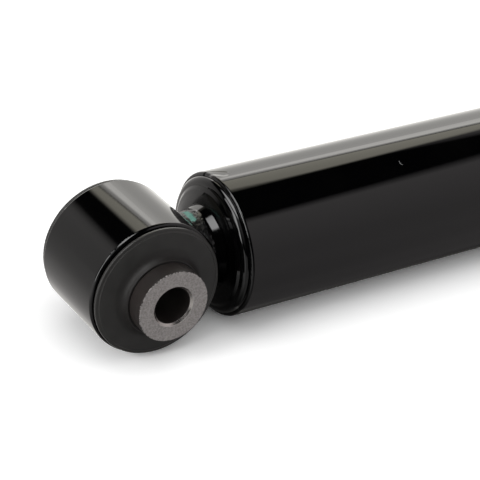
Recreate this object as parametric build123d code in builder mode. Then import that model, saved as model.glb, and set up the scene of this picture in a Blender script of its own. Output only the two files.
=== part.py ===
# Twin-tube shock absorber with an eye at each end and a steel dust tube, fully extended.
# The origin is the centre of the upper eye. +X runs along the rod to the lower eye, both bores along Y.
from build123d import *
import os
from math import cos, hypot, radians

os.makedirs("parts", exist_ok=True)

# Driving dimensions in millimetres: the two eyes and their rubber bushes
eye_r = 26.0
eye_wall = 3.4
eye_length = 36.8
eye_edge = 1.1
bolt_bore_r = 7.1
bore_chamfer = 0.95
sleeve_wall = 6.8
sleeve_overhang = 13.35
sleeve_edge = 0.5
flange_gap = 0.8
flange_thickness = 1.7
flange_lip = 2.5
flange_edge = 0.5
flange_rim = 1.1
flange_step = 0.35
collar_height = 3.9
collar_wall = 0.75
collar_blend = 3.0
neck_gap = 5.0
neck_flare = 1.8
neck_flare_length = 4.5
neck_blend = 8.0

# Driving dimensions: tubes, pressed caps and the stroke
stroke = 155.0
pressure_bore_r = 15.0
pressure_wall = 1.5
reserve_gap = 5.5
reservoir_wall = 1.5
dust_gap = 2.8
dust_wall = 1.3
tube_edge = 1.0
dust_overlap = 22.0
bump_gap = 12.5
tube_set = 4.1
cap_wall = 2.0
cap_step = 1.7
cap_drop = 0.5
cap_crown = 0.9
cap_dome = 14.0
cap_dome_width = 3.9
cap_step_inset = 4.4
cap_step_draft = 1.3
cap_crown_edge = 1.5
cap_foot_edge = 0.8
cap_corner = 2.8
cap_skirt = 10.0
crown_land = 1.1

# Driving dimensions: rod, guide, seal and rebound stop
rod_r = 6.25
spigot_r = 4.9
rod_edge = 0.4
rim_roll = 2.0
rim_roll_width = 9.0
rim_roll_edge = 1.9
retainer_thickness = 2.0
retainer_clearance = 2.2
guide_rim = 8.0
guide_flange = 12.0
guide_length = 20.0
guide_land = 1.2
guide_edge = 0.5
bush_wall = 1.5
bush_length = 12.0
seal_depth = 7.0
seal_wall = 5.7
seal_lip = 2.3
seal_case = 1.6
drain_r = 1.5
garter_r = 0.55
bumper_length = 8.0
bumper_edge = 1.5
stop_thickness = 4.0
stop_ledge = 5.75
stop_groove = 0.8
stop_edge = 0.6
rod_tail = 21.1

# Driving dimensions: piston, foot valve and their check plates
washer_thickness = 2.5
washer_wall = 4.6
spring_thickness = 0.3
boss_height = 1.8
boss_wall = 5.0
plate_thickness = 0.9
plate_edge_gap = 1.7
piston_length = 14.0
piston_clearance = 0.4
band_length = 10.0
band_thickness = 1.3
outer_port_r = 1.25
outer_port_inset = 3.4
outer_port_count = 8
inner_port_r = 1.0
inner_port_wall = 3.3
inner_port_count = 6
finger_count = 6
finger_gap = 3.0
disc_thickness = 0.25
disc_gap = 0.02
disc_count = 4
disc_wall = 5.05
backing_thickness = 1.5
backing_wall = 2.6
nut_thickness = 7.0
nut_across_flats = 17.0
nut_flange = 1.6
rivet_r = 3.0
rivet_head = 2.0
rivet_head_wall = 2.4
foot_boss_wall = 5.3
foot_spigot = 6.0
foot_flange = 4.0
foot_legs = 5.0
foot_leg_width = 4.5
foot_slot = 7.0
foot_slot_count = 4
nut_to_foot = 2.0

# Clearances: turning or sliding fits, pressed or welded seats, and soft parts that only just touch
running_fit = 0.05
seat_fit = 0.02
plate_fit = 0.15
touch_gap = 0.3

# Radii that follow from the dimensions above
eye_bore_r = eye_r - eye_wall
sleeve_r = bolt_bore_r + sleeve_wall
rubber_bore_r = sleeve_r + running_fit
rubber_r = eye_bore_r - seat_fit
flange_r = eye_bore_r + flange_lip
pressure_r = pressure_bore_r + pressure_wall
reservoir_bore_r = pressure_r + reserve_gap
reservoir_r = reservoir_bore_r + reservoir_wall
dust_bore_r = reservoir_r + dust_gap
dust_r = dust_bore_r + dust_wall
stem_r = reservoir_bore_r - cap_step_inset - crown_land - neck_flare
rod_hole_r = rod_r + seat_fit
bush_r = rod_r + running_fit + bush_wall
seal_r = rod_r + seal_wall
stop_r = rod_r + stop_ledge

# Places along the shock, measured from the upper eye towards the lower one
neck_reach = eye_r + neck_gap
tube_reach = neck_reach + tube_set
cap_rim = neck_reach + cap_step + cap_drop
cap_inside = cap_rim + cap_wall
rod_start_x = eye_r + touch_gap
cylinder_top_x = cap_inside + stroke + bump_gap
dust_end_x = cylinder_top_x + dust_overlap
retainer_x = cylinder_top_x + rim_roll
guide_x = retainer_x + retainer_thickness
bush_x = guide_x + seal_depth
pressure_start_x = guide_x + guide_flange
guide_end_x = guide_x + guide_length
bumper_x = guide_end_x + touch_gap
stop_x = bumper_x + bumper_length
washer_x = stop_x + stop_thickness + rod_tail
piston_spring_x = washer_x + washer_thickness
piston_boss_x = piston_spring_x + spring_thickness
piston_x = piston_boss_x + boss_height
piston_end_x = piston_x + piston_length
backing_x = piston_end_x + disc_count * (disc_thickness + disc_gap)
nut_x = backing_x + backing_thickness
rod_end_x = nut_x + nut_thickness + rod_edge
foot_top_x = rod_end_x + stroke + nut_to_foot
foot_spring_x = foot_top_x + rivet_head
foot_boss_x = foot_spring_x + spring_thickness
foot_x = foot_boss_x + boss_height
pressure_end_x = foot_x + foot_spigot
foot_under_x = pressure_end_x + foot_flange
base_inside_x = foot_under_x + foot_legs
lower_eye_x = base_inside_x + cap_inside
reservoir_end_x = lower_eye_x - tube_reach

# Sketches of turned parts: local x runs along the shock, local y is the radius
side_view = Plane.XZ


def outline(*corners):
    """Draw a closed outline from corners of place, radius and, where it is rounded, edge radius."""
    points = [corner[:2] for corner in corners]
    edges = [corner[2] if len(corner) > 2 else 0 for corner in corners]
    FilletPolyline(*points, radius=edges, close=True)


# The eyes: ring, welded stem, rubber bush and inner sleeve, the same at both ends
for end, eye_x, towards in (("upper", 0.0, 1), ("lower", lower_eye_x, -1)):
    eye_view = Plane(origin=(eye_x, 0, 0), x_dir=(0, 1, 0), z_dir=(1, 0, 0))
    eye_axis = Axis((eye_x, 0, 0), (0, 1, 0))
    half = eye_length / 2

    with BuildPart() as eye_ring:
        with BuildSketch(eye_view):
            with BuildLine():
                outline(
                    (-half, eye_bore_r, eye_edge / 2), (-half, eye_r, eye_edge),
                    (half, eye_r, eye_edge), (half, eye_bore_r, eye_edge / 2),
                )
            make_face()
        revolve(axis=eye_axis)
    eye_ring.part.label = f"{end}_eye_ring"
    export_step(eye_ring.part, f"parts/{end}_eye_ring.step")

    # The stem sits in a saddle on the ring and flares out to its weld on the cap
    stem_hole_r = rod_hole_r if end == "upper" else 0.0
    with BuildPart() as eye_stem:
        with BuildSketch(side_view):
            with BuildLine():
                outline(
                    (eye_x, stem_hole_r), (eye_x, stem_r),
                    (eye_x + towards * (neck_reach - neck_flare_length), stem_r, neck_blend),
                    (eye_x + towards * (neck_reach - seat_fit), stem_r + neck_flare),
                    (eye_x + towards * (neck_reach - seat_fit), stem_hole_r),
                )
            make_face()
        revolve(axis=Axis.X)
        with BuildSketch(Plane.XZ.offset(-eye_r)):
            with Locations((eye_x, 0)):
                Circle(eye_r + seat_fit)
        extrude(amount=2 * eye_r, mode=Mode.SUBTRACT)
    eye_stem.part.label = f"{end}_eye_stem"
    export_step(eye_stem.part, f"parts/{end}_eye_stem.step")

    # Moulded rubber with a collar up the sleeve and a stepped flange over each face of the ring
    flange_y = half + flange_gap
    face_y = flange_y + flange_thickness
    collar_y = face_y + collar_height
    collar_r = rubber_bore_r + collar_wall
    near_side = (
        (collar_y, collar_r, collar_wall / 2),
        (face_y + collar_wall, collar_r + collar_wall, collar_blend),
        (face_y, flange_r - flange_rim - flange_step, flange_step / 2),
        (face_y - flange_step, flange_r - flange_rim, flange_step / 2),
        (face_y - flange_step, flange_r, flange_edge),
        (flange_y, flange_r, flange_edge / 2),
        (flange_y, rubber_r - flange_edge),
        (half - flange_edge, rubber_r),
    )
    far_side = tuple((-y, r, *edge) for y, r, *edge in reversed(near_side))
    with BuildPart() as bush_rubber:
        with BuildSketch(eye_view):
            with BuildLine():
                outline((collar_y, rubber_bore_r), *near_side, *far_side, (-collar_y, rubber_bore_r))
            make_face()
        revolve(axis=eye_axis)
    bush_rubber.part.label = f"{end}_bush_rubber"
    export_step(bush_rubber.part, f"parts/{end}_bush_rubber.step")

    sleeve_half = half + sleeve_overhang
    with BuildPart() as bush_sleeve:
        with BuildSketch(eye_view):
            with BuildLine():
                outline(
                    (-sleeve_half, bolt_bore_r + bore_chamfer), (-sleeve_half, sleeve_r, sleeve_edge),
                    (sleeve_half, sleeve_r, sleeve_edge), (sleeve_half, bolt_bore_r + bore_chamfer),
                    (sleeve_half - bore_chamfer, bolt_bore_r), (bore_chamfer - sleeve_half, bolt_bore_r),
                )
            make_face()
        revolve(axis=eye_axis)
    bush_sleeve.part.label = f"{end}_bush_sleeve"
    export_step(bush_sleeve.part, f"parts/{end}_bush_sleeve.step")

# Pressed caps: a crown (domed on the dust cap), a step, a shoulder and a rounded corner into the skirt
for cap_name, eye_x, towards, tube_bore_r, hole_r, crown in (
    ("dust_cap", 0.0, 1, dust_bore_r, rod_hole_r, cap_crown),
    ("base_cap", lower_eye_x, -1, reservoir_bore_r, 0.0, 0.0),
):
    rim_r = tube_bore_r - seat_fit
    step_r = tube_bore_r - cap_step_inset
    dome = ((neck_reach, step_r - cap_dome_width, cap_dome),) if crown else ()
    outside = (
        (neck_reach, hole_r), *dome,
        (neck_reach + crown, step_r, cap_crown_edge),
        (neck_reach + cap_step, step_r + cap_step_draft, cap_foot_edge),
        (cap_rim, rim_r, cap_corner),
        (cap_rim + cap_skirt, rim_r),
    )
    inside = (
        (cap_rim + cap_skirt, rim_r - cap_wall),
        (cap_inside, rim_r - cap_wall, cap_corner / 4),
        (cap_inside, step_r + cap_step_draft - cap_wall, cap_foot_edge / 2),
        (neck_reach + crown + cap_wall, step_r - cap_wall, cap_crown_edge / 2),
        *((d + cap_wall, r - cap_wall, edge) for d, r, edge in dome),
        (neck_reach + cap_wall, hole_r),
    )
    with BuildPart() as cap:
        with BuildSketch(side_view):
            with BuildLine():
                outline(*((eye_x + towards * d, r, *edge) for d, r, *edge in outside + inside))
            make_face()
        revolve(axis=Axis.X)
    cap.part.label = cap_name
    export_step(cap.part, f"parts/{cap_name}.step")

# Dust tube, pressed over the dust cap
with BuildPart() as dust_tube:
    with BuildSketch(side_view):
        with BuildLine():
            outline(
                (tube_reach, dust_bore_r), (tube_reach, dust_r, tube_edge),
                (dust_end_x, dust_r, tube_edge), (dust_end_x, dust_bore_r),
            )
        make_face()
    revolve(axis=Axis.X)
dust_tube.part.label = "dust_tube"
export_step(dust_tube.part, "parts/dust_tube.step")

# Piston rod, with a groove for the rebound stop and a spigot for the piston
with BuildPart() as piston_rod:
    with BuildSketch(side_view):
        with BuildLine():
            outline(
                (rod_start_x, 0), (rod_start_x, rod_r, rod_edge), (stop_x, rod_r),
                (stop_x, rod_r - stop_groove), (stop_x + stop_thickness, rod_r - stop_groove),
                (stop_x + stop_thickness, rod_r), (washer_x, rod_r), (washer_x, spigot_r),
                (rod_end_x, spigot_r, rod_edge), (rod_end_x, 0),
            )
        make_face()
    revolve(axis=Axis.X)
piston_rod.part.label = "piston_rod"
export_step(piston_rod.part, "parts/piston_rod.step")

with BuildPart() as rebound_stop:
    with BuildSketch(side_view):
        with BuildLine():
            outline(
                (stop_x + seat_fit, rod_r - stop_groove + seat_fit), (stop_x + seat_fit, stop_r, stop_edge),
                (stop_x + stop_thickness - seat_fit, stop_r, stop_edge),
                (stop_x + stop_thickness - seat_fit, rod_r - stop_groove + seat_fit),
            )
        make_face()
    revolve(axis=Axis.X)
rebound_stop.part.label = "rebound_stop"
export_step(rebound_stop.part, "parts/rebound_stop.step")

with BuildPart() as rebound_bumper:
    with BuildSketch(side_view):
        with BuildLine():
            outline(
                (bumper_x, rod_hole_r), (bumper_x, stop_r, bumper_edge),
                (stop_x, stop_r, bumper_edge), (stop_x, rod_hole_r),
            )
        make_face()
    revolve(axis=Axis.X)
rebound_bumper.part.label = "rebound_bumper"
export_step(rebound_bumper.part, "parts/rebound_bumper.step")

# Piston: a sintered body with a band in its groove and two rings of ports
stack_bore_r = spigot_r + seat_fit
piston_r = pressure_bore_r - piston_clearance
band_x = piston_x + (piston_length - band_length) / 2
band_r = pressure_bore_r - running_fit
groove_r = band_r - band_thickness
boss_r = spigot_r + boss_wall
with BuildPart() as piston:
    with BuildSketch(side_view):
        with BuildLine():
            outline(
                (piston_boss_x, stack_bore_r), (piston_boss_x, boss_r), (piston_x, boss_r),
                (piston_x, piston_r, piston_clearance), (band_x, piston_r), (band_x, groove_r),
                (band_x + band_length, groove_r), (band_x + band_length, piston_r),
                (piston_end_x, piston_r, piston_clearance), (piston_end_x, stack_bore_r),
            )
        make_face()
    revolve(axis=Axis.X)
    with BuildSketch(Plane.YZ.offset(piston_boss_x)):
        with PolarLocations(pressure_bore_r - outer_port_inset, outer_port_count):
            Circle(outer_port_r)
        with PolarLocations(spigot_r + inner_port_wall, inner_port_count):
            Circle(inner_port_r)
    extrude(amount=boss_height + piston_length, mode=Mode.SUBTRACT)
piston.part.label = "piston"
export_step(piston.part, "parts/piston.step")

with BuildPart() as piston_band:
    with BuildSketch(Plane.YZ.offset(band_x + seat_fit)):
        Circle(band_r)
        Circle(groove_r + seat_fit, mode=Mode.SUBTRACT)
    extrude(amount=band_length - 2 * seat_fit)
piston_band.part.label = "piston_band"
export_step(piston_band.part, "parts/piston_band.step")

with BuildPart() as stack_washer:
    with BuildSketch(Plane.YZ.offset(washer_x)):
        Circle(spigot_r + washer_wall)
        Circle(stack_bore_r, mode=Mode.SUBTRACT)
    extrude(amount=washer_thickness)
    chamfer(stack_washer.faces().sort_by(Axis.X)[0].outer_wire().edges(), guide_edge)
stack_washer.part.label = "stack_washer"
export_step(stack_washer.part, "parts/stack_washer.step")

# The rebound valve: thin discs over the inner ports, a backing washer and the rod nut
with BuildPart() as rebound_discs:
    for turn in range(disc_count):
        with BuildSketch(Plane.YZ.offset(piston_end_x + turn * (disc_thickness + disc_gap) + disc_gap)):
            Circle(spigot_r + disc_wall - turn * disc_thickness)
            Circle(stack_bore_r, mode=Mode.SUBTRACT)
        extrude(amount=disc_thickness)
rebound_discs.part.label = "rebound_discs"
export_step(rebound_discs.part, "parts/rebound_discs.step")

with BuildPart() as backing_washer:
    with BuildSketch(Plane.YZ.offset(backing_x + disc_gap)):
        Circle(spigot_r + backing_wall)
        Circle(stack_bore_r, mode=Mode.SUBTRACT)
    extrude(amount=backing_thickness - disc_gap)
backing_washer.part.label = "backing_washer"
export_step(backing_washer.part, "parts/backing_washer.step")

with BuildPart() as piston_nut:
    with BuildSketch(Plane.YZ.offset(nut_x)):
        RegularPolygon(nut_across_flats / 2, side_count=6, major_radius=False)
    extrude(amount=nut_thickness)
    with BuildSketch(side_view):
        with BuildLine():
            outline(
                (nut_x, 0), (nut_x, nut_across_flats / 2 / cos(radians(30))),
                (nut_x + nut_thickness - nut_flange, nut_across_flats / 2 / cos(radians(30))),
                (nut_x + nut_thickness, nut_across_flats / 2 - guide_edge), (nut_x + nut_thickness, 0),
            )
        make_face()
    revolve(axis=Axis.X, mode=Mode.INTERSECT)
    with BuildSketch(Plane.YZ.offset(nut_x)):
        Circle(stack_bore_r)
    extrude(amount=nut_thickness, mode=Mode.SUBTRACT)
piston_nut.part.label = "piston_nut"
export_step(piston_nut.part, "parts/piston_nut.step")

# Check plates and the finger springs that hold them on their seats, at the piston and at the foot valve
for valve, spring_x, centre_r, ring_r in (
    ("piston", piston_spring_x, spigot_r, boss_r),
    ("foot", foot_spring_x, rivet_r, rivet_r + foot_boss_wall),
):
    seat_x = spring_x + spring_thickness + boss_height
    plate_x = seat_x - plate_thickness
    plate_r = pressure_bore_r - plate_edge_gap
    with BuildPart() as check_plate:
        with BuildSketch(Plane.YZ.offset(plate_x)):
            Circle(plate_r)
            Circle(ring_r + plate_fit, mode=Mode.SUBTRACT)
        extrude(amount=plate_thickness)
    check_plate.part.label = f"{valve}_check_plate"
    export_step(check_plate.part, f"parts/{valve}_check_plate.step")

    tip_x = plate_x - seat_fit
    with BuildPart() as check_spring:
        with BuildSketch(side_view):
            with BuildLine():
                outline(
                    (spring_x, centre_r + seat_fit), (spring_x, ring_r), (tip_x - spring_thickness, plate_r),
                    (tip_x, plate_r), (spring_x + spring_thickness - seat_fit, ring_r),
                    (spring_x + spring_thickness - seat_fit, centre_r + seat_fit),
                )
            make_face()
        revolve(axis=Axis.X)
        with BuildSketch(Plane.YZ.offset(spring_x)):
            with PolarLocations((plate_r + ring_r) / 2, finger_count):
                SlotOverall(plate_r, finger_gap)
        extrude(amount=spring_thickness + boss_height, mode=Mode.SUBTRACT)
    check_spring.part.label = f"{valve}_check_spring"
    export_step(check_spring.part, f"parts/{valve}_check_spring.step")

# Reservoir tube, its top rolled in over the seal retainer
roll_r = reservoir_r - rim_roll_width
with BuildPart() as reservoir_tube:
    with BuildSketch(side_view):
        with BuildLine():
            outline(
                (cylinder_top_x, roll_r, rim_roll / 4), (cylinder_top_x, reservoir_r, rim_roll_edge),
                (reservoir_end_x, reservoir_r, tube_edge), (reservoir_end_x, reservoir_bore_r),
                (retainer_x, reservoir_bore_r, rim_roll / 8), (retainer_x, roll_r),
            )
        make_face()
    revolve(axis=Axis.X)
reservoir_tube.part.label = "reservoir_tube"
export_step(reservoir_tube.part, "parts/reservoir_tube.step")

with BuildPart() as pressure_tube:
    with BuildSketch(Plane.YZ.offset(pressure_start_x)):
        Circle(pressure_r)
        Circle(pressure_bore_r, mode=Mode.SUBTRACT)
    extrude(amount=pressure_end_x - pressure_start_x)
pressure_tube.part.label = "pressure_tube"
export_step(pressure_tube.part, "parts/pressure_tube.step")

with BuildPart() as seal_retainer:
    with BuildSketch(Plane.YZ.offset(retainer_x)):
        Circle(reservoir_bore_r - seat_fit - rim_roll / 8)
        Circle(rod_r + retainer_clearance, mode=Mode.SUBTRACT)
    extrude(amount=retainer_thickness)
seal_retainer.part.label = "seal_retainer"
export_step(seal_retainer.part, "parts/seal_retainer.step")

# Rod guide: closes both tubes, carries the bush and the seal, and drains oil back to the reservoir
guide_r = reservoir_bore_r - seat_fit
guide_spigot_r = pressure_bore_r - seat_fit
with BuildPart() as rod_guide:
    with BuildSketch(side_view):
        with BuildLine():
            outline(
                (guide_x, seal_r + seat_fit), (guide_x, guide_r, guide_edge),
                (guide_x + guide_rim, guide_r, guide_edge), (pressure_start_x, pressure_r + guide_land),
                (pressure_start_x, guide_spigot_r), (guide_end_x, guide_spigot_r, guide_edge),
                (guide_end_x, bush_r + seat_fit), (bush_x, bush_r + seat_fit), (bush_x, seal_r + seat_fit),
            )
        make_face()
    revolve(axis=Axis.X)
    with BuildSketch(Plane.YZ.offset(guide_x)):
        with PolarLocations((guide_r + pressure_r + guide_land) / 2, finger_count):
            Circle(drain_r)
    extrude(amount=guide_flange, mode=Mode.SUBTRACT)
rod_guide.part.label = "rod_guide"
export_step(rod_guide.part, "parts/rod_guide.step")

with BuildPart() as guide_bush:
    with BuildSketch(Plane.YZ.offset(bush_x + seat_fit)):
        Circle(bush_r)
        Circle(rod_r + running_fit, mode=Mode.SUBTRACT)
    extrude(amount=bush_length)
guide_bush.part.label = "guide_bush"
export_step(guide_bush.part, "parts/guide_bush.step")

# Rod seal with an oil lip and a dust lip, and the garter spring around the oil lip
lip_r = rod_r + running_fit
seal_end = seal_depth - seat_fit
with BuildPart() as rod_seal:
    with BuildSketch(side_view):
        with BuildLine():
            outline(
                (guide_x + running_fit, lip_r + seal_lip / 2), (guide_x + running_fit, seal_r - running_fit),
                (guide_x + seal_end, seal_r - running_fit), (guide_x + seal_end, seal_r - seal_case),
                (guide_x + seal_depth / 2, seal_r - seal_case), (guide_x + seal_depth / 2, lip_r + seal_lip),
                (guide_x + seal_end, lip_r + seal_lip / 2), (guide_x + seal_end - seal_lip / 2, lip_r),
                (guide_x + seal_depth / 2, lip_r + seal_lip / 2), (guide_x + seal_lip / 2, lip_r),
            )
        make_face()
    revolve(axis=Axis.X)
rod_seal.part.label = "rod_seal"
export_step(rod_seal.part, "parts/rod_seal.step")

garter_x = guide_x + seal_depth * 3 / 4
lip_slope = seal_lip / seal_depth
garter_ring_r = lip_r + seal_lip * 3 / 4 + garter_r * hypot(1, lip_slope) + seat_fit
with BuildPart() as garter_spring:
    with BuildSketch(side_view):
        with Locations((garter_x, garter_ring_r)):
            Circle(garter_r)
    revolve(axis=Axis.X)
garter_spring.part.label = "garter_spring"
export_step(garter_spring.part, "parts/garter_spring.step")

# Foot valve: spigot in the pressure tube, flange under it and slotted legs on the base cap
foot_bore_r = rivet_r + seat_fit
foot_r = pressure_r + guide_land
with BuildPart() as foot_valve_body:
    with BuildSketch(side_view):
        with BuildLine():
            outline(
                (foot_boss_x, foot_bore_r), (foot_boss_x, rivet_r + foot_boss_wall),
                (foot_x, rivet_r + foot_boss_wall), (foot_x, pressure_bore_r - seat_fit, guide_edge),
                (pressure_end_x, pressure_bore_r - seat_fit), (pressure_end_x, foot_r, guide_edge),
                (base_inside_x, foot_r), (base_inside_x, foot_r - foot_leg_width),
                (foot_under_x, foot_r - foot_leg_width), (foot_under_x, foot_bore_r),
            )
        make_face()
    revolve(axis=Axis.X)
    with BuildSketch(Plane.YZ.offset(foot_boss_x)):
        with PolarLocations(pressure_bore_r - outer_port_inset, outer_port_count):
            Circle(outer_port_r)
        with PolarLocations(rivet_r + inner_port_wall, inner_port_count):
            Circle(inner_port_r)
    extrude(amount=foot_under_x - foot_boss_x, mode=Mode.SUBTRACT)
    with BuildSketch(Plane.YZ.offset(foot_under_x)):
        with PolarLocations(foot_r - foot_leg_width / 2, foot_slot_count):
            Rectangle(2 * foot_leg_width, foot_slot)
    extrude(amount=foot_legs, mode=Mode.SUBTRACT)
foot_valve_body.part.label = "foot_valve_body"
export_step(foot_valve_body.part, "parts/foot_valve_body.step")

with BuildPart() as foot_discs:
    for turn in range(disc_count):
        with BuildSketch(Plane.YZ.offset(foot_under_x + turn * (disc_thickness + disc_gap) + disc_gap)):
            Circle(rivet_r + disc_wall - turn * disc_thickness)
            Circle(foot_bore_r, mode=Mode.SUBTRACT)
        extrude(amount=disc_thickness)
foot_discs.part.label = "foot_discs"
export_step(foot_discs.part, "parts/foot_discs.step")

tail_x = foot_under_x + disc_count * (disc_thickness + disc_gap) + disc_gap
with BuildPart() as foot_rivet:
    with BuildSketch(side_view):
        with BuildLine():
            outline(
                (foot_top_x, 0), (foot_top_x, rivet_r + rivet_head_wall, guide_edge),
                (foot_spring_x, rivet_r + rivet_head_wall), (foot_spring_x, rivet_r),
                (tail_x, rivet_r), (tail_x, rivet_r + rivet_head_wall),
                (tail_x + rivet_head, rivet_r + rivet_head_wall, guide_edge), (tail_x + rivet_head, 0),
            )
        make_face()
    revolve(axis=Axis.X)
foot_rivet.part.label = "foot_rivet"
export_step(foot_rivet.part, "parts/foot_rivet.step")

print(f"Eye to eye, extended {lower_eye_x:.1f} mm, compressed {lower_eye_x - stroke:.1f} mm")
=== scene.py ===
# Looks of a shock absorber: black paint, rubber, steel and the small marks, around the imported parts.
# The origin is the centre of the upper eye, +X runs along the rod and both eye bores run along Y.
import bmesh
import bpy
import math
import numpy as np
from mathutils import Matrix, Vector


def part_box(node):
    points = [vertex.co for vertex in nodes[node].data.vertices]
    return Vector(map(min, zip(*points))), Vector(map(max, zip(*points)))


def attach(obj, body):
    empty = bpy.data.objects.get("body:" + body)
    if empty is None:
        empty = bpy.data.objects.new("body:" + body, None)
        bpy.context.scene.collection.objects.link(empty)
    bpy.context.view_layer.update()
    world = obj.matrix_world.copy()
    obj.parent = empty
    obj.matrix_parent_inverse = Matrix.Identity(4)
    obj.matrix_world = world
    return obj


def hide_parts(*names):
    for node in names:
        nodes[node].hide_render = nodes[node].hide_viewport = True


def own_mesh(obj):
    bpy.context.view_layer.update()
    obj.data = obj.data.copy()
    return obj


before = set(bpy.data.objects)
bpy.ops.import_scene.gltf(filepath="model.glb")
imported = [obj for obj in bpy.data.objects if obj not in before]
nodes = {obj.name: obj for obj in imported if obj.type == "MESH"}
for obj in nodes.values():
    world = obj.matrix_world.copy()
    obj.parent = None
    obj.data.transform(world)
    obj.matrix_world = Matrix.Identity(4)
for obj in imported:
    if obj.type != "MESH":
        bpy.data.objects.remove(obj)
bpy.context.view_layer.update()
scene = bpy.context.scene
scene.view_settings.view_transform = "Standard"
lowerEye = (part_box("lower_eye_ring")[0][0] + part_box("lower_eye_ring")[1][0]) / 2
print("frame loaded,", len(nodes), "nodes")


def addObject(name, data):
    made = bpy.data.objects.new(name, data)
    scene.collection.objects.link(made)
    return made


# The emptied node tree of a material or a world
def emptyTree(owner):
    owner.use_nodes = True
    owner.node_tree.nodes.clear()
    return owner.node_tree


# A shader node with its inputs, where an input is a number, a colour or another node's output
def addNode(tree, kind, inputs=(), **properties):
    made = tree.nodes.new("ShaderNode" + kind)
    for name, value in properties.items():
        setattr(made, name, value)
    for key, value in dict(inputs).items():
        if isinstance(value, bpy.types.NodeSocket):
            tree.links.new(value, made.inputs[key])
        else:
            made.inputs[key].default_value = value
    return made


def maths(tree, operation, *values):
    return addNode(tree, "Math", dict(enumerate(values)), operation=operation).outputs[0]


# 0 at low and 1 at high, with a smooth step between, whichever of the two is larger
def smoothStep(tree, value, low, high):
    inputs = {"Value": value, "From Min": low, "From Max": high}
    return addNode(tree, "MapRange", inputs, interpolation_type="SMOOTHSTEP").outputs[0]


def scaled(tree, value, low, high):
    return addNode(tree, "MapRange", {"Value": value, "To Min": low, "To Max": high}).outputs[0]


def mixColour(tree, factor, first, second):
    return addNode(tree, "Mix", {0: factor, 6: first, 7: second}, data_type="RGBA").outputs[2]


def noise(tree, vector, scale, detail=2.0, roughness=0.5):
    inputs = {"Vector": vector, "Scale": scale, "Detail": detail, "Roughness": roughness}
    return addNode(tree, "TexNoise", inputs).outputs[0]


def stretched(tree, vector, *scale):
    return addNode(tree, "VectorMath", {0: vector, 1: scale}, operation="MULTIPLY").outputs[0]


# An effect group: inputs are name and default, outputs are names of values
def newGroup(name, inputs, outputs):
    tree = bpy.data.node_groups.new(name, "ShaderNodeTree")
    for label, value in inputs.items():
        kind = "NodeSocketVector" if value is None else "NodeSocketFloat"
        socket = tree.interface.new_socket(name=label, in_out="INPUT", socket_type=kind)
        if value is not None:
            socket.default_value = value
    for label in outputs:
        kind = "NodeSocketVector" if label == "Unrolled" else "NodeSocketFloat"
        tree.interface.new_socket(name=label, in_out="OUTPUT", socket_type=kind)
    return tree, tree.nodes.new("NodeGroupInput").outputs, tree.nodes.new("NodeGroupOutput").inputs


# Turned place: how far along X, how far from the axis, and the surface unrolled to (along, round, radius)
def makeTurnedPlace():
    tree, given, result = newGroup("turnedPlace", {"Vector": None}, ("Along", "Radius", "Unrolled"))
    parts = addNode(tree, "SeparateXYZ", {0: given["Vector"]}).outputs
    radius = maths(tree, "SQRT", maths(tree, "ADD", maths(tree, "POWER", parts["Y"], 2.0),
                                       maths(tree, "POWER", parts["Z"], 2.0)))
    arc = maths(tree, "MULTIPLY", maths(tree, "ARCTAN2", parts["Y"], parts["Z"]), radius)
    unrolled = addNode(tree, "CombineXYZ", {0: parts["X"], 1: arc, 2: radius}).outputs[0]
    tree.links.new(parts["X"], result["Along"])
    tree.links.new(radius, result["Radius"])
    tree.links.new(unrolled, result["Unrolled"])
    return tree


# noise scales of the two layers for each width of a streak, and how much the fine one adds
streakLayers = {"broadScale": 0.35, "fineScale": 1.6, "fineShare": 0.25}


# Brushed streaks: noise drawn out along the first axis, with a broad and a fine layer
def makeStreaks():
    inputs = {"Vector": None, "Width": 0.002, "Length": 0.1}
    tree, given, result = newGroup("streaks", inputs, ("Height",))
    across = maths(tree, "DIVIDE", 1.0, given["Width"])
    along = maths(tree, "DIVIDE", 1.0, given["Length"])
    scale = addNode(tree, "CombineXYZ", {0: along, 1: across, 2: across}).outputs[0]
    place = addNode(tree, "VectorMath", {0: given["Vector"], 1: scale}, operation="MULTIPLY").outputs[0]
    broad = noise(tree, place, streakLayers["broadScale"], detail=1.0)
    fine = noise(tree, place, streakLayers["fineScale"], detail=3.0)
    tree.links.new(maths(tree, "MULTIPLY_ADD", fine, streakLayers["fineShare"], broad), result["Height"])
    return tree


dustLayers = {"upwardRange": (0.1, 1.0), "filmScale": 60.0, "filmRange": (0.35, 0.8),
              "filmShare": 0.35, "speckScale": 1900.0, "speckRange": (0.74, 0.82)}


# Settled dust: specks and a thin film on what faces up
def makeDust():
    tree, given, result = newGroup("settledDust", {"Vector": None, "Amount": 0.5}, ("Mask",))
    normal = addNode(tree, "NewGeometry").outputs["Normal"]
    height = addNode(tree, "SeparateXYZ", {0: normal}).outputs["Z"]
    upward = smoothStep(tree, height, *dustLayers["upwardRange"])
    cloud = noise(tree, given["Vector"], dustLayers["filmScale"], detail=4.0)
    film = smoothStep(tree, cloud, *dustLayers["filmRange"])
    points = noise(tree, given["Vector"], dustLayers["speckScale"], detail=1.0)
    specks = smoothStep(tree, points, *dustLayers["speckRange"])
    both = maths(tree, "MULTIPLY_ADD", film, dustLayers["filmShare"], specks)
    settled = maths(tree, "MULTIPLY", both, upward)
    tree.links.new(maths(tree, "MULTIPLY", settled, given["Amount"]), result["Mask"])
    return tree


# how much the cells add to the height, and the patches' noise scale as a share of the grain's
grainLayers = {"cellShare": 0.4, "patchScale": 0.12}


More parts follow.
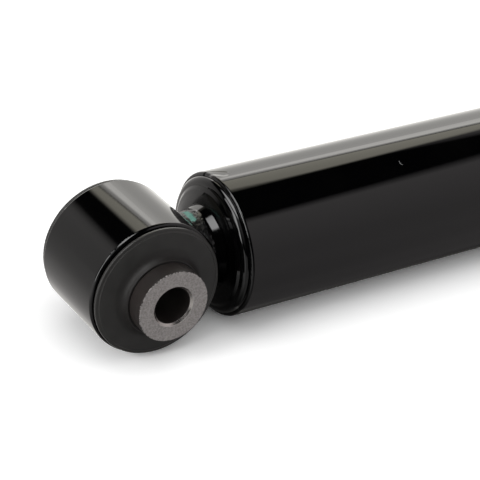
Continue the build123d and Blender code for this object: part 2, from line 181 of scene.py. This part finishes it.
# Grain: fine bumps of a moulded, cast or sintered surface, and larger cloudy patches
def makeGrain():
    tree, given, result = newGroup("grain", {"Vector": None, "Size": 0.001}, ("Height", "Patches"))
    scale = maths(tree, "DIVIDE", 1.0, given["Size"])
    cells = addNode(tree, "TexVoronoi", {"Vector": given["Vector"], "Scale": scale}).outputs["Distance"]
    fine = noise(tree, given["Vector"], scale, detail=3.0, roughness=0.6)
    tree.links.new(maths(tree, "MULTIPLY_ADD", cells, grainLayers["cellShare"], fine), result["Height"])
    patchScale = maths(tree, "MULTIPLY", scale, grainLayers["patchScale"])
    tree.links.new(noise(tree, given["Vector"], patchScale, detail=3.0), result["Patches"])
    return tree


strokeFades = (1.0, 0.4)  # shares of the width: nothing past the first, full within the second


# A stroke between two points of the unrolled surface, by the distance to the line between them
def makeStroke():
    inputs = {"Vector": None, "Start": None, "End": None, "Width": 0.001}
    tree, given, result = newGroup("stroke", inputs, ("Mask",))

    def vector(operation, first, second, output=0):
        return addNode(tree, "VectorMath", {0: first, 1: second}, operation=operation).outputs[output]

    flat = vector("MULTIPLY", given["Vector"], (1, 1, 0))
    reach = vector("SUBTRACT", flat, given["Start"])
    line = vector("SUBTRACT", given["End"], given["Start"])
    share = maths(tree, "DIVIDE", vector("DOT_PRODUCT", reach, line, 1), vector("DOT_PRODUCT", line, line, 1))
    share = addNode(tree, "Clamp", {0: share}).outputs[0]
    nearest = addNode(tree, "VectorMath", {0: line, "Scale": share}, operation="SCALE").outputs[0]
    gap = maths(tree, "DIVIDE", vector("DISTANCE", reach, nearest, 1), given["Width"])
    tree.links.new(smoothStep(tree, gap, *strokeFades), result["Mask"])
    return tree


groups = {"place": makeTurnedPlace(), "streaks": makeStreaks(), "dust": makeDust(), "grain": makeGrain(),
          "stroke": makeStroke()}
print("effect groups made")


def placeGroup(tree, key, inputs):
    return addNode(tree, "Group", inputs, node_tree=groups[key]).outputs


# A material with its Object coordinates turned so that the piece's own axis is X, and its turned place
def newMaterial(name, axis="X", centre=0.0):
    material = bpy.data.materials.new(name)
    tree = emptyTree(material)
    spot = addNode(tree, "TexCoord").outputs["Object"]
    if axis == "Y":  # a quarter turn about Z takes Y to X
        shifted = addNode(tree, "Mapping", {"Vector": spot, "Location": (-centre, 0, 0)}).outputs[0]
        spot = addNode(tree, "Mapping", {"Vector": shifted, "Rotation": (0, 0, -math.pi / 2)}).outputs[0]
    return material, tree, spot, placeGroup(tree, "place", {"Vector": spot})


def finishMaterial(tree, bumps=(), **inputs):
    normal = None
    for height, distance in bumps:  # each bump is laid over the one before
        given = {"Height": height, "Distance": distance}
        if normal is not None:
            given["Normal"] = normal
        normal = addNode(tree, "Bump", given).outputs[0]
    wired = {key.replace("_", " "): value for key, value in inputs.items()}
    if normal is not None:
        wired["Normal"] = normal
    surface = addNode(tree, "BsdfPrincipled", wired).outputs[0]
    addNode(tree, "OutputMaterial", {"Surface": surface})


blackPaint = {"colour": (0.0006, 0.0006, 0.0007, 1), "dustColour": (0.02, 0.019, 0.017, 1), "ior": 1.5,
              "gloss": (0.02, 0.045), "capGloss": (0.05, 0.08), "ringGloss": (0.055, 0.08),
              "glossScale": 45.0, "dust": 0.08, "dustRoughness": 0.3, "drawWidth": 0.004, "drawLength": 0.6,
              "drawHeight": 0.000012, "peelScale": 420.0, "peelHeight": 0.000003}

# Marks on the paint, in metres: a stroke joins places (along, round) of the unrolled surface, the weld zone
# grows along the axis, and the crown is the middle of a cap, by radius
paintMarks = {
    "tick": {"strokes": (((0.10914, -0.01290), (0.10905, -0.01405)),
                         ((0.10905, -0.01405), (0.1096, -0.0147))),
             "width": 0.0002, "colour": (0.17, 0.17, 0.17, 1)},
    "dent": {"stroke": ((0.0354, 0.0072), (0.0396, 0.0030)), "width": 0.0028, "depth": 0.0004},
    "weldZone": {"ends": (0.0285, 0.0262), "scale": 480.0, "height": 0.0007, "roughness": 0.26},
    "dab": {"stroke": ((0.0250, -0.0015), (0.0256, 0.0050)), "width": 0.0016, "colour": (0.12, 0.3, 0.25, 1),
            "ragged": 0.0014, "raggedScale": 700.0, "roughness": 0.3},
    "crown": {"reach": (0.0212, 0.0196), "roughness": 0.14},
}


def strokeMask(tree, unrolled, width, ends):
    start, end = ((along, around, 0.0) for along, around in ends)
    inputs = {"Vector": unrolled, "Start": start, "End": end, "Width": width}
    return placeGroup(tree, "stroke", inputs)["Mask"]


# Gloss black paint over drawn steel: faint lengthwise waves, orange peel and a trace of dust. Marked pieces
# have more: the tube a dent and a pale scratch, the stem burnt paint at its weld and a green dab, the cap
# a duller crown
def makeBlackPaint(name, axis="X", centre=0.0, marked=None, gloss=blackPaint["gloss"]):
    material, tree, spot, turned = newMaterial(name, axis, centre)
    dust = placeGroup(tree, "dust", {"Vector": spot, "Amount": blackPaint["dust"]})["Mask"]
    waves = placeGroup(tree, "streaks", {"Vector": turned["Unrolled"], "Width": blackPaint["drawWidth"],
                                         "Length": blackPaint["drawLength"]})["Height"]
    peel = noise(tree, spot, blackPaint["peelScale"])
    roughness = scaled(tree, noise(tree, spot, blackPaint["glossScale"], detail=3.0), *gloss)
    roughness = maths(tree, "MULTIPLY_ADD", dust, blackPaint["dustRoughness"], roughness)
    colour = mixColour(tree, dust, blackPaint["colour"], blackPaint["dustColour"])
    bumps = [(waves, blackPaint["drawHeight"]), (peel, blackPaint["peelHeight"])]
    if marked == "tube":
        dent, tick = paintMarks["dent"], paintMarks["tick"]
        bumps.append((strokeMask(tree, turned["Unrolled"], dent["width"], dent["stroke"]), -dent["depth"]))
        for ends in tick["strokes"]:
            mask = strokeMask(tree, turned["Unrolled"], tick["width"], ends)
            colour = mixColour(tree, mask, colour, tick["colour"])
    if marked == "cap":
        crown = smoothStep(tree, turned["Radius"], *paintMarks["crown"]["reach"])
        roughness = maths(tree, "MULTIPLY_ADD", crown, paintMarks["crown"]["roughness"], roughness)
    if marked == "stem":
        dab, weldZone = paintMarks["dab"], paintMarks["weldZone"]
        burnt = smoothStep(tree, turned["Along"], *weldZone["ends"])
        spatter = maths(tree, "MULTIPLY", noise(tree, spot, weldZone["scale"]), burnt)
        bumps.append((spatter, weldZone["height"]))
        roughness = maths(tree, "MULTIPLY_ADD", burnt, weldZone["roughness"], roughness)
        ragged = addNode(tree, "TexNoise", {"Vector": spot, "Scale": dab["raggedScale"]}).outputs["Color"]
        shift = {0: ragged, 1: (dab["ragged"], dab["ragged"], 0), 2: turned["Unrolled"]}
        moved = addNode(tree, "VectorMath", shift, operation="MULTIPLY_ADD").outputs[0]
        mask = strokeMask(tree, moved, dab["width"], dab["stroke"])
        roughness = maths(tree, "MULTIPLY_ADD", mask, dab["roughness"], roughness)
        colour = mixColour(tree, mask, colour, dab["colour"])
    finishMaterial(tree, bumps, Base_Color=colour, Roughness=roughness, IOR=blackPaint["ior"])
    return material


bushRubber = {"dark": (0.014, 0.0135, 0.0128, 1), "pale": (0.027, 0.026, 0.0245, 1), "roughness": (0.5, 0.64),
              # the collar's colour is painted shade of the fold round the sleeve, also rubber without bloom
              "collar": (0.0072, 0.0062, 0.0057, 1), "collarReach": (0.0155, 0.0185),
              "lipReach": (0.0234, 0.0241), "lipPolish": 0.25, "specular": 0.4, "ior": 1.5,
              "grainSize": 0.0006, "grainHeight": 0.00001}


# Moulded rubber: soft sheen, fine grain and a chalky bloom in patches on the face. The collar round the
# sleeve
# is painted darker: painted shade in its fold, and rubber without the bloom. The flange's lip is rubbed
# smoother
def makeRubber(name, axis, centre=0.0):
    material, tree, spot, turned = newMaterial(name, axis, centre)
    grain = placeGroup(tree, "grain", {"Vector": spot, "Size": bushRubber["grainSize"]})
    # painted shade: the colour is darker near the sleeve and fades out to the face's colour
    collarShadeFade = smoothStep(tree, turned["Radius"], *bushRubber["collarReach"])
    face = mixColour(tree, grain["Patches"], bushRubber["dark"], bushRubber["pale"])
    rough = scaled(tree, grain["Patches"], *bushRubber["roughness"])
    lip = smoothStep(tree, turned["Radius"], *bushRubber["lipReach"])
    rubbed = maths(tree, "MULTIPLY", lip, bushRubber["lipPolish"])
    finishMaterial(tree, [(grain["Height"], bushRubber["grainHeight"])],
                   Base_Color=mixColour(tree, collarShadeFade, bushRubber["collar"], face),
                   Roughness=maths(tree, "SUBTRACT", rough, rubbed), IOR=bushRubber["ior"],
                   Specular_IOR_Level=bushRubber["specular"])
    return material


sleeveSteel = {"dark": (0.18, 0.168, 0.162, 1), "pale": (0.5, 0.47, 0.459, 1), "turned": (0.5, 0.47, 0.45, 1),
               "metallic": 0.6, "ior": 1.35, "roughness": (0.42, 0.55), "turnedPolish": 0.22,
               "grainSize": 0.0007, "grainHeight": 0.00002, "turnWidth": 0.00018, "turnHeight": 0.000006,
               "speckleScale": 1500.0, "speckleRange": (-0.2, 1.1), "patchRange": (-0.1, 0.1),
               # the skin colours are a real dark skin on the side and painted shade in the bore past the
               # chamfer
               "skinAndBoreShadeDark": (0.003, 0.0024, 0.0022, 1), "skinAndBoreShadePale": (0.024, 0.0195, 0.018, 1),
               "skinGrain": 0.0022, "ragged": 0.0018, "tearScale": 1300.0, "faceEdge": (0.0001, 0.00025),
               "rim": 0.0006, "rimReach": 0.0015, "boreChamfer": 0.0008, "chamferEdge": 0.0002,
               "chamferRim": (0.0081, 0.0078)}


# Bare steel tube: a thin dark skin down the side, torn ragged at the cut faces. These are speckled bare
# steel, and the turned chamfer at the bore's mouth is smoother and brighter. The bore past the chamfer
# takes the skin's dark colour as painted shade in the hole
def makeSleeveSteel(name, centre):
    material, tree, spot, turned = newMaterial(name, "Y", centre)
    grain = placeGroup(tree, "grain", {"Vector": spot, "Size": sleeveSteel["grainSize"]})
    skin = placeGroup(tree, "grain", {"Vector": spot, "Size": sleeveSteel["skinGrain"]})
    sleeveRadius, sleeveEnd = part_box("upper_bush_sleeve")[1][:2]
    depth = maths(tree, "ABSOLUTE", turned["Along"])
    tear = noise(tree, spot, sleeveSteel["tearScale"], detail=3.0, roughness=0.7)
    place = maths(tree, "MULTIPLY_ADD", tear, sleeveSteel["ragged"], depth)
    rim = smoothStep(tree, turned["Radius"], sleeveRadius - sleeveSteel["rimReach"], sleeveRadius)
    place = maths(tree, "SUBTRACT", place, maths(tree, "MULTIPLY", rim, sleeveSteel["rim"]))
    face = smoothStep(tree, place, *(sleeveEnd + edge for edge in sleeveSteel["faceEdge"]))
    chamferStart = sleeveEnd - sleeveSteel["boreChamfer"]
    past = smoothStep(tree, depth, chamferStart - sleeveSteel["chamferEdge"], chamferStart)
    inside = maths(tree, "MULTIPLY", past, smoothStep(tree, turned["Radius"], *sleeveSteel["chamferRim"]))
    bare = maths(tree, "MAXIMUM", face, inside)
    speckle = noise(tree, spot, sleeveSteel["speckleScale"], roughness=0.7)
    tone = maths(tree, "ADD", scaled(tree, speckle, *sleeveSteel["speckleRange"]),
                 scaled(tree, grain["Patches"], *sleeveSteel["patchRange"]))
    steel = mixColour(tree, tone, sleeveSteel["dark"], sleeveSteel["pale"])
    steel = mixColour(tree, inside, steel, sleeveSteel["turned"])
    # the skin's colours: real dark skin on the side, painted shade in the bore past the chamfer
    skinAndBoreShade = mixColour(tree, skin["Patches"], sleeveSteel["skinAndBoreShadeDark"], sleeveSteel["skinAndBoreShadePale"])
    rough = scaled(tree, grain["Patches"], *sleeveSteel["roughness"])
    polish = maths(tree, "MULTIPLY", inside, sleeveSteel["turnedPolish"])
    metallic = maths(tree, "MULTIPLY", bare, sleeveSteel["metallic"])
    turning = noise(tree, addNode(tree, "CombineXYZ", {0: turned["Radius"]}).outputs[0],
                    1 / sleeveSteel["turnWidth"])
    bumps = [(grain["Height"], sleeveSteel["grainHeight"]), (turning, sleeveSteel["turnHeight"])]
    finishMaterial(tree, bumps, Base_Color=mixColour(tree, bare, skinAndBoreShade, steel), IOR=sleeveSteel["ior"],
                   Metallic=maths(tree, "MAXIMUM", metallic, inside),
                   Roughness=maths(tree, "SUBTRACT", rough, polish))
    return material


metals = {
    "chromedRod": {"dark": (0.5, 0.51, 0.52, 1), "pale": (0.62, 0.63, 0.64, 1), "roughness": (0.05, 0.12),
                   "size": 0.004, "height": 0.0000006, "metallic": 1.0},
    "turnedSteel": {"dark": (0.26, 0.26, 0.26, 1), "pale": (0.42, 0.42, 0.41, 1), "roughness": (0.25, 0.4),
                    "size": 0.0008, "height": 0.000005, "metallic": 1.0},
    "sinteredIron": {"dark": (0.07, 0.07, 0.072, 1), "pale": (0.2, 0.2, 0.2, 1), "roughness": (0.5, 0.7),
                     "size": 0.0004, "height": 0.00003, "metallic": 1.0},
    "springSteel": {"dark": (0.12, 0.14, 0.2, 1), "pale": (0.4, 0.36, 0.28, 1), "roughness": (0.2, 0.35),
                    "size": 0.003, "height": 0.000002, "metallic": 1.0},
    "bushBronze": {"dark": (0.25, 0.15, 0.07, 1), "pale": (0.55, 0.36, 0.18, 1), "roughness": (0.3, 0.5),
                   "size": 0.0006, "height": 0.00001, "metallic": 1.0},
    "bandPolymer": {"dark": (0.03, 0.09, 0.07, 1), "pale": (0.05, 0.13, 0.1, 1), "roughness": (0.35, 0.5),
                    "size": 0.0008, "height": 0.000004, "metallic": 0.0},
    "bumperPolymer": {"dark": (0.35, 0.22, 0.08, 1), "pale": (0.5, 0.34, 0.13, 1), "roughness": (0.4, 0.55),
                      "size": 0.002, "height": 0.000008, "metallic": 0.0},
}

latheRings = {"roundShare": 0.002, "size": 0.0004, "heightShare": 0.5}


# Inner parts: two tones in cloudy patches, a fine grain and rings left by turning or grinding
def makeInner(name):
    tone = metals[name]
    material, tree, spot, turned = newMaterial(name)
    grain = placeGroup(tree, "grain", {"Vector": spot, "Size": tone["size"]})
    rings = stretched(tree, turned["Unrolled"], 1.0, latheRings["roundShare"], 1.0)
    lathe = placeGroup(tree, "streaks", {"Vector": rings, "Width": latheRings["size"],
                                         "Length": latheRings["size"]})["Height"]
    bumps = [(grain["Height"], tone["height"]), (lathe, tone["height"] * latheRings["heightShare"])]
    finishMaterial(tree, bumps, Base_Color=mixColour(tree, grain["Patches"], tone["dark"], tone["pale"]),
                   Metallic=tone["metallic"], Roughness=scaled(tree, grain["Patches"], *tone["roughness"]))
    return material


tubePaint = makeBlackPaint("glossBlackTube")
capPaint = makeBlackPaint("glossBlackCap", marked="cap", gloss=blackPaint["capGloss"])
finishes = {
    "dust_tube": makeBlackPaint("glossBlackDustTube", marked="tube"), "dust_cap": capPaint,
    "reservoir_tube": tubePaint, "base_cap": capPaint,
    "upper_eye_stem": makeBlackPaint("glossBlackStem", marked="stem", gloss=blackPaint["capGloss"]),
    "lower_eye_stem": capPaint,
    "rod_seal": makeRubber("sealRubber", "X"),
}
for end, centre in (("upper", 0.0), ("lower", lowerEye)):
    ringPaint = makeBlackPaint("glossBlackEye_" + end, "Y", centre, gloss=blackPaint["ringGloss"])
    finishes[end + "_eye_ring"] = ringPaint
    finishes[end + "_bush_rubber"] = makeRubber("bushRubber_" + end, "Y", centre)
    finishes[end + "_bush_sleeve"] = makeSleeveSteel("sleeveSteel_" + end, centre)
innerNodes = {
    "chromedRod": ("piston_rod",),
    "turnedSteel": ("rebound_stop", "stack_washer", "backing_washer", "piston_nut", "seal_retainer",
                    "foot_rivet", "pressure_tube"),
    "sinteredIron": ("piston", "rod_guide", "foot_valve_body"),
    "springSteel": ("piston_check_plate", "piston_check_spring", "foot_check_plate", "foot_check_spring",
                    "rebound_discs", "foot_discs", "garter_spring"),
    "bushBronze": ("guide_bush",), "bandPolymer": ("piston_band",), "bumperPolymer": ("rebound_bumper",),
}
for name, members in innerNodes.items():
    material = makeInner(name)
    finishes.update({member: material for member in members})
for name, material in finishes.items():
    mesh = nodes[name].data
    mesh.materials.clear()
    mesh.materials.append(material)
print("finishes given to", len(finishes), "nodes")


# A closed mesh from a grid of points that wraps both ways: rows of points become rings of quads
def wrappedMesh(name, points, material):
    rows, columns = points.shape[:2]
    index = np.arange(rows * columns).reshape(rows, columns)
    corners = [index, np.roll(index, -1, 1), np.roll(np.roll(index, -1, 1), -1, 0), np.roll(index, -1, 0)]
    faces = np.stack(corners, -1).reshape(-1, 4)
    mesh = bpy.data.meshes.new(name)
    mesh.from_pydata(points.reshape(-1, 3).tolist(), [], faces.tolist())
    mesh.shade_smooth()
    mesh.materials.append(material)
    return addObject(name, mesh)


weld = {"stemRadius": 0.0147, "radius": 0.0009, "steps": 240, "around": 16, "ripples": 46,
        "rippleHeight": 0.00003}


# Weld bead: a circle carried along a closed path, its radius rippling as cos(ripples * turn)
def makeBead(name, path, outward, body):
    tangent = np.roll(path, -1, 0) - np.roll(path, 1, 0)
    tangent /= np.linalg.norm(tangent, axis=1, keepdims=True)
    side = outward - (outward * tangent).sum(1, keepdims=True) * tangent
    side /= np.linalg.norm(side, axis=1, keepdims=True)
    other = np.cross(tangent, side)
    turn = np.linspace(0, 2 * np.pi, len(path), endpoint=False)
    radius = weld["radius"] + weld["rippleHeight"] * np.cos(weld["ripples"] * turn)
    angle = np.linspace(0, 2 * np.pi, weld["around"], endpoint=False)
    ring = np.cos(angle)[None, :, None] * side[:, None] + np.sin(angle)[None, :, None] * other[:, None]
    bead = wrappedMesh(name, path[:, None] + radius[:, None, None] * ring, tubePaint)
    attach(bead, body)


# The saddle where a stem of radius s meets a ring of radius r: (sqrt(r^2 - z^2), s sin t, s cos t)
def saddlePath(centre, towards, ringRadius, stemRadius):
    t = np.linspace(0, 2 * np.pi, weld["steps"], endpoint=False) * towards
    y, z = stemRadius * np.sin(t), stemRadius * np.cos(t)
    return np.stack([centre + towards * np.sqrt(ringRadius ** 2 - z ** 2), y, z], 1)


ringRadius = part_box("upper_eye_ring")[1][2]
for end, centre, towards, body in (("upper", 0.0, 1, "rod_assembly"), ("lower", lowerEye, -1, "cylinder")):
    path = saddlePath(centre, towards, ringRadius, weld["stemRadius"])
    makeBead(end + "_eye_weld", path, path * (0, 1, 1), body)
print("weld beads made")

# keep is the share of its height that a finger spring keeps when its check plate is fully lifted, and points
# closer than merge become one
flexing = {"keep": 0.48, "merge": 0.000002,
           "springs": (("piston_check_spring", "piston_check_lift", "rod_assembly"),
                       ("foot_check_spring", "foot_check_lift", "cylinder"))}


# Finger springs: copies of the CAD springs with doubled points merged, hung on their bodies in place of the
# hidden CAD springs
def makeFlexingSprings():
    for node, joint, body in flexing["springs"]:
        mesh = nodes[node].data.copy()
        merged = bmesh.new()
        merged.from_mesh(mesh)
        bmesh.ops.remove_doubles(merged, verts=merged.verts, dist=flexing["merge"])
        merged.to_mesh(mesh)
        merged.free()
        spring = addObject(node + "_flexing", mesh)
        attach(spring, body)
        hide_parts(node)
        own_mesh(spring)


makeFlexingSprings()
print("flexing springs made")

floorHeight = -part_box("dust_tube")[1][2]
studio = {
    # the floor to the camera near the object and far off, where the lamps no longer reach it
    "floorSize": 6.0, "floorColour": (0.85, 0.85, 0.85, 1), "floorShown": (1.3, 1.3, 1.3, 1),
    "floorFar": (2.6, 2.6, 2.6, 1), "floorFades": (0.35, 1.3),
    # the share of the panels that gloss paint sees through the floor, by distance from the object's middle
    # line, and how fast the floor opens past the object's ends
    "underShade": ((0, 0.04), (0.01, 0.05), (0.0135, 0.075), (0.0165, 0.11), (0.0195, 0.42), (0.0225, 0.55),
                   (0.0285, 0.77), (0.0315, 0.9), (0.035, 1)),
    "endOpening": 1.85, "endInset": 0.005,
    # what lights matt surfaces from the front and the back, and where the one fades into the other
    "frontLight": 1.02, "backLight": 0.37, "lightFades": (-0.8, 0.4), "backdrop": 1.0,
    # what the gloss paint mirrors: strengths by azimuth and by elevation in degrees, multiplied, and a tint
    "panels": {
        "leftSoftbox": {"azimuth": ((-108, 0), (-105.5, 4.5), (-94, 5.7), (-86, 4.6), (-80, 0)),
                        "elevation": ((0, 0), (3, 0.98), (44, 1), (48, 0)), "tint": (1.0, 1.0, 1.0)},
        "leftHigh": {"azimuth": ((-86, 0), (-80, 4.4), (-65, 3.7), (-62, 0)),
                     "elevation": ((28, 0), (34, 1), (46, 1), (50, 0)), "tint": (1.0, 1.0, 1.0)},
        "topSoftbox": {"azimuth": ((-147, 0), (-141, 5.8), (-60, 5.5), (-24, 4.2), (-18, 0)),
                       "elevation": ((54, 0), (60, 1), (83, 1), (85, 0)), "tint": (1.0, 1.0, 1.0)},
        "frontGlow": {"azimuth": ((-152, 0), (-146, 0.4), (-112, 0.4), (-108, 0)),
                      "elevation": ((8, 0), (24, 0.5), (36, 1), (52, 1), (56, 0)), "tint": (1.0, 1.0, 1.0)},
        "leftFloor": {"azimuth": ((-130, 0), (-122, 1.0), (-62, 1.0), (-50, 0.5), (-40, 0)),
                      "elevation": ((-70, 0.08), (-59, 0.13), (-48, 0.33), (-38, 0.57), (-27, 0.65),
                                    (-18, 0.93), (-1, 1), (1, 0)), "tint": (1.0, 0.99, 0.98)},
        "frontFloor": {"azimuth": ((-156, 0), (-152, 0.42), (-133, 0.42), (-126, 0)),
                       "elevation": ((-90, 0.4), (-50, 0.7), (-38, 0.95), (-1, 1), (1, 0)),
                       "tint": (1.0, 0.98, 0.97)},
        "nearFloor": {"azimuth": ((-169, 0), (-166, 0.42), (-156, 0.42), (-152, 0)),
                      "elevation": ((-90, 0.4), (-50, 0.7), (-38, 0.95), (-24, 1), (-17, 0)),
                      "tint": (1.0, 0.98, 0.97)},
        "backPanel": {"azimuth": ((2, 0), (9, 1.0), (56, 1.0), (62, 0)),
                      "elevation": ((-90, 0.8), (-36, 0.85), (-25, 1.2), (-16, 1.45), (-4, 1.38), (2, 1.3),
                                    (7, 1.3), (12, 1.43), (18, 1.68), (22, 2.0), (26, 2.55), (30.5, 3.7),
                                    (32.6, 4.1), (33.6, 1.8), (35.2, 1.6), (35.5, 0)),
                      "tint": (1.0, 0.98, 0.94)},
        "backStrip": {"azimuth": ((2, 0), (8, 1.7), (56, 2.0), (60, 0)),
                      "elevation": ((36, 0), (36.4, 1), (50.5, 1), (53, 0.35), (56, 0.12), (58.5, 0)),
                      "tint": (1.0, 0.96, 0.82)},
        "backWall": {"azimuth": ((-62, 0), (-50, 0.36), (-40, 0.5), (-30, 0.62), (-15, 0.73), (-5, 0.8),
                                 (3, 0.85), (9, 0)),
                     "elevation": ((-90, 1.05), (-38, 1.05), (-25, 1.12), (-16, 1.02), (26, 1), (30, 0.85),
                                   (33, 0.4), (35, 0)), "tint": (1.0, 0.97, 0.95)},
        "rightCard": {"azimuth": ((56, 0), (62, 1.0), (156, 1.0), (162, 0)),
                      "elevation": ((-90, 0.2), (-50, 0.28), (-23, 0.45), (0, 0.5), (44, 0.7), (50, 0)),
                      "tint": (1.0, 0.95, 0.955)},
    },
}


# A piecewise linear profile: stops are pairs of place and strength
def profile(tree, value, low, high, stops):
    place = addNode(tree, "MapRange", {"Value": value, "From Min": low, "From Max": high}).outputs[0]
    ramp = addNode(tree, "ValToRGB", {0: place})
    peak = max(strength for _, strength in stops)
    elements = ramp.color_ramp.elements
    elements.remove(elements[1])
    for count, (spot, strength) in enumerate(stops):
        element = elements.new((spot - low) / (high - low)) if count else elements[0]
        element.position = (spot - low) / (high - low)
        element.color = (strength / peak, strength / peak, strength / peak, 1)
    return maths(tree, "MULTIPLY", ramp.outputs[0], peak)


# The studio round the object: white to the camera, soft to matt surfaces, panels and dark gaps to gloss ones
def makeWorld():
    world = bpy.data.worlds.new("studio")
    tree = emptyTree(world)
    x, y, z = addNode(tree, "SeparateXYZ", {0: addNode(tree, "TexCoord").outputs["Generated"]}).outputs
    azimuth = maths(tree, "DEGREES", maths(tree, "ARCTAN2", x, y))
    elevation = maths(tree, "DEGREES", maths(tree, "ARCSINE", z))
    total = (0.0, 0.0, 0.0)
    for panel in studio["panels"].values():
        across = profile(tree, azimuth, -180, 180, panel["azimuth"])
        upward = profile(tree, elevation, -90, 90, panel["elevation"])
        tinted = {0: panel["tint"], "Scale": maths(tree, "MULTIPLY", across, upward)}
        light = addNode(tree, "VectorMath", tinted, operation="SCALE").outputs[0]
        total = addNode(tree, "VectorMath", {0: total, 1: light}, operation="ADD").outputs[0]
    mirrored = addNode(tree, "Background", {"Color": total, "Strength": 1.0}).outputs[0]
    back = smoothStep(tree, y, *studio["lightFades"])
    towardsBack = scaled(tree, back, studio["frontLight"], studio["backLight"])
    ambient = addNode(tree, "Background", {"Color": (1, 1, 1, 1), "Strength": towardsBack}).outputs[0]
    white = addNode(tree, "Background", {"Color": (1, 1, 1, 1), "Strength": studio["backdrop"]}).outputs[0]
    ray = addNode(tree, "LightPath").outputs
    glossy = maths(tree, "MAXIMUM", ray["Is Glossy Ray"], ray["Is Transmission Ray"])
    lit = addNode(tree, "MixShader", {0: glossy, 1: ambient, 2: mirrored}).outputs[0]
    shown = addNode(tree, "MixShader", {0: ray["Is Camera Ray"], 1: lit, 2: white}).outputs[0]
    addNode(tree, "OutputWorld", {"Surface": shown})
    scene.world = world


# A pale floor just under the object. Gloss paint looks through it at the panels, which reach below the
# horizon, and under the object it mirrors the dark of the shadow
def makeFloor():
    half = studio["floorSize"] / 2
    mesh = bpy.data.meshes.new("floor")
    corners = [(x, y, floorHeight) for x, y in ((-half, -half), (half, -half), (half, half), (-half, half))]
    mesh.from_pydata(corners, [], [(0, 1, 2, 3)])
    floor = addObject("floor", mesh)
    material = bpy.data.materials.new("floorWhite")
    tree = emptyTree(material)
    ray = addNode(tree, "LightPath").outputs
    spot = addNode(tree, "TexCoord").outputs["Object"]
    away = addNode(tree, "VectorMath", {0: spot}, operation="LENGTH").outputs[1]
    far = smoothStep(tree, away, *studio["floorFades"])
    shown = mixColour(tree, far, studio["floorShown"], studio["floorFar"])
    colour = mixColour(tree, ray["Is Camera Ray"], studio["floorColour"], shown)
    solid = addNode(tree, "BsdfDiffuse", {"Color": colour}).outputs[0]
    parts = addNode(tree, "SeparateXYZ", {0: spot}).outputs
    past = maths(tree, "MAXIMUM", maths(tree, "SUBTRACT", studio["endInset"], parts["X"]),
                 maths(tree, "SUBTRACT", parts["X"], lowerEye - studio["endInset"]))
    beyond = maths(tree, "MULTIPLY", past, studio["endOpening"])
    outside = maths(tree, "MAXIMUM", maths(tree, "ABSOLUTE", parts["Y"]), beyond)
    shade = profile(tree, outside, 0, studio["underShade"][-1][0], studio["underShade"])
    clear = addNode(tree, "BsdfTransparent", {"Color": shade}).outputs[0]
    both = addNode(tree, "MixShader", {0: ray["Is Glossy Ray"], 1: solid, 2: clear}).outputs[0]
    addNode(tree, "OutputMaterial", {"Surface": both})
    mesh.materials.append(material)


lampAim = (0.08, 0, 0)
lamps = {
    "overheadSoft": {"place": (0.1, 0.1, 1.3), "size": 1.6, "power": 5.0},
    "leftSoft": {"place": (-1.2, -0.1, 0.6), "size": 0.7, "power": 10.0},
}


# Square area lamps aimed at the object, kept out of the mirrored panels
def makeLamps():
    for name, lamp in lamps.items():
        data = bpy.data.lights.new(name, "AREA")
        data.size = lamp["size"]
        data.energy = lamp["power"]
        made = addObject(name, data)
        made.location = lamp["place"]
        aim = Vector(lampAim) - made.location
        made.rotation_euler = aim.to_track_quat("-Z", "Y").to_euler()
        made.visible_glossy = False
        made.visible_camera = False


camera = {"place": (-0.278296, -0.484125, 0.328978), "aim": (0.046154, -0.001494, 0.0), "roll": 4.079,
          "lens": 133.534, "sensor": 36.0, "clip": (0.01, 50.0)}


def makeCamera():
    data = bpy.data.cameras.new("camera")
    data.lens = camera["lens"]
    data.sensor_width = camera["sensor"]
    data.clip_start, data.clip_end = camera["clip"]
    made = addObject("camera", data)
    made.location = camera["place"]
    look = Vector(camera["aim"]) - made.location
    roll = Matrix.Rotation(math.radians(camera["roll"]), 3, "Z").to_quaternion()
    made.rotation_mode = "QUATERNION"
    made.rotation_quaternion = look.to_track_quat("-Z", "Y") @ roll
    scene.camera = made


makeWorld()
makeFloor()
makeLamps()
makeCamera()
print("studio and camera ready")
